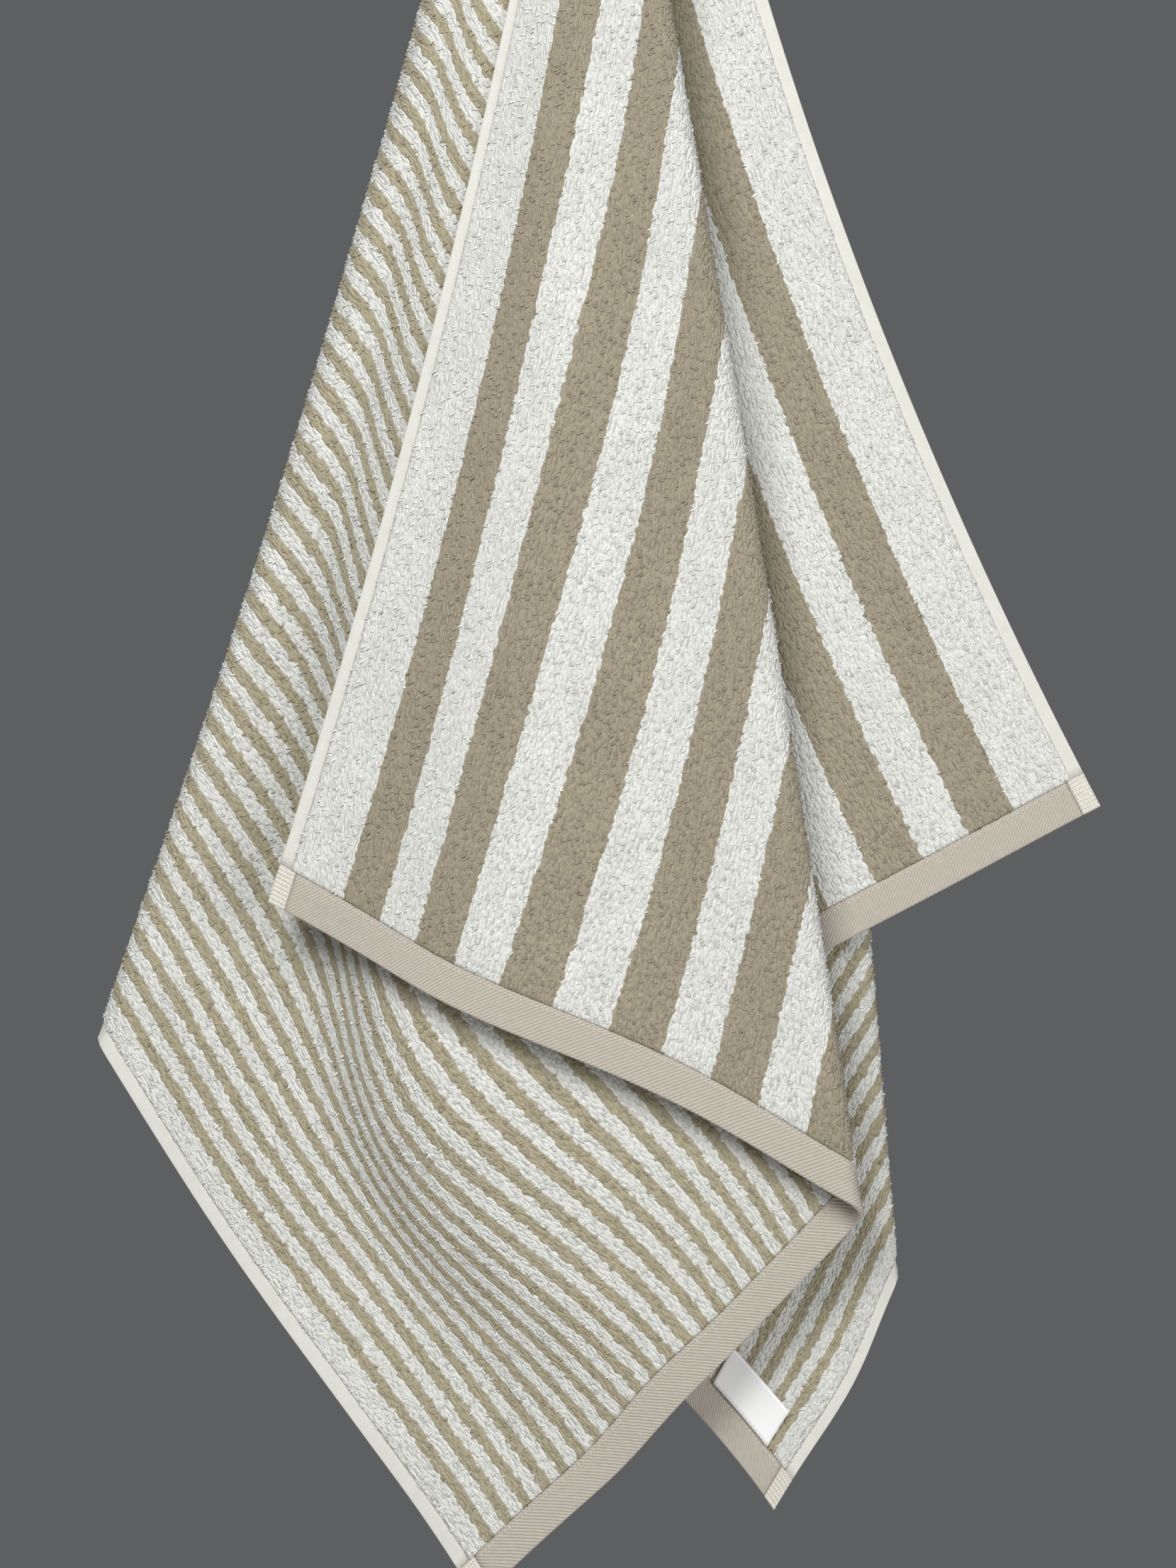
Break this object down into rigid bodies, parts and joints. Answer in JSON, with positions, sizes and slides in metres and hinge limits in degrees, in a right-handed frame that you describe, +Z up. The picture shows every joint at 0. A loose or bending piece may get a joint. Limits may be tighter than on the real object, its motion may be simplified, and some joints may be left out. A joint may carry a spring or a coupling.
{
  "type": "hanging bath towel",
  "caption": "Reversible striped terry bath towel, hung from a peg at the middle of one long edge and fallen into wedge-shaped folds.",
  "frame": {"origin": "centre of the mouth of the peg pocket, in the plane of the wall that the towel hangs against", "axes": "+Z up, +Y into the wall along the peg, towards the wall, +X to the right of someone who faces the towel"},
  "size_m": [0.5068, 0.088, 1.0599],
  "materials": {
    "terry_pile": "matte looped cotton pile, white with beige stripes",
    "selvedge_weave": "matte flat cotton weave, cream",
    "hem_twill": "matte flat cotton twill, pinkish beige",
    "seam_thread": "matte polyester thread, pale beige",
    "tack_thread": "matte polyester thread, white",
    "label_satin": "satin woven ribbon, white"
  },
  "bodies": {
    "root": {"terry_cloth": "terry_pile", "front_selvedge": "selvedge_weave", "rear_selvedge": "selvedge_weave", "left_hem": "hem_twill", "right_hem": "hem_twill", "left_hem_seam": "seam_thread", "right_hem_seam": "seam_thread", "left_front_tack": "tack_thread", "left_rear_tack": "tack_thread", "right_front_tack": "tack_thread", "right_rear_tack": "tack_thread", "care_label": "label_satin", "label_stitches": "seam_thread"}
  },
  "joints": []
}
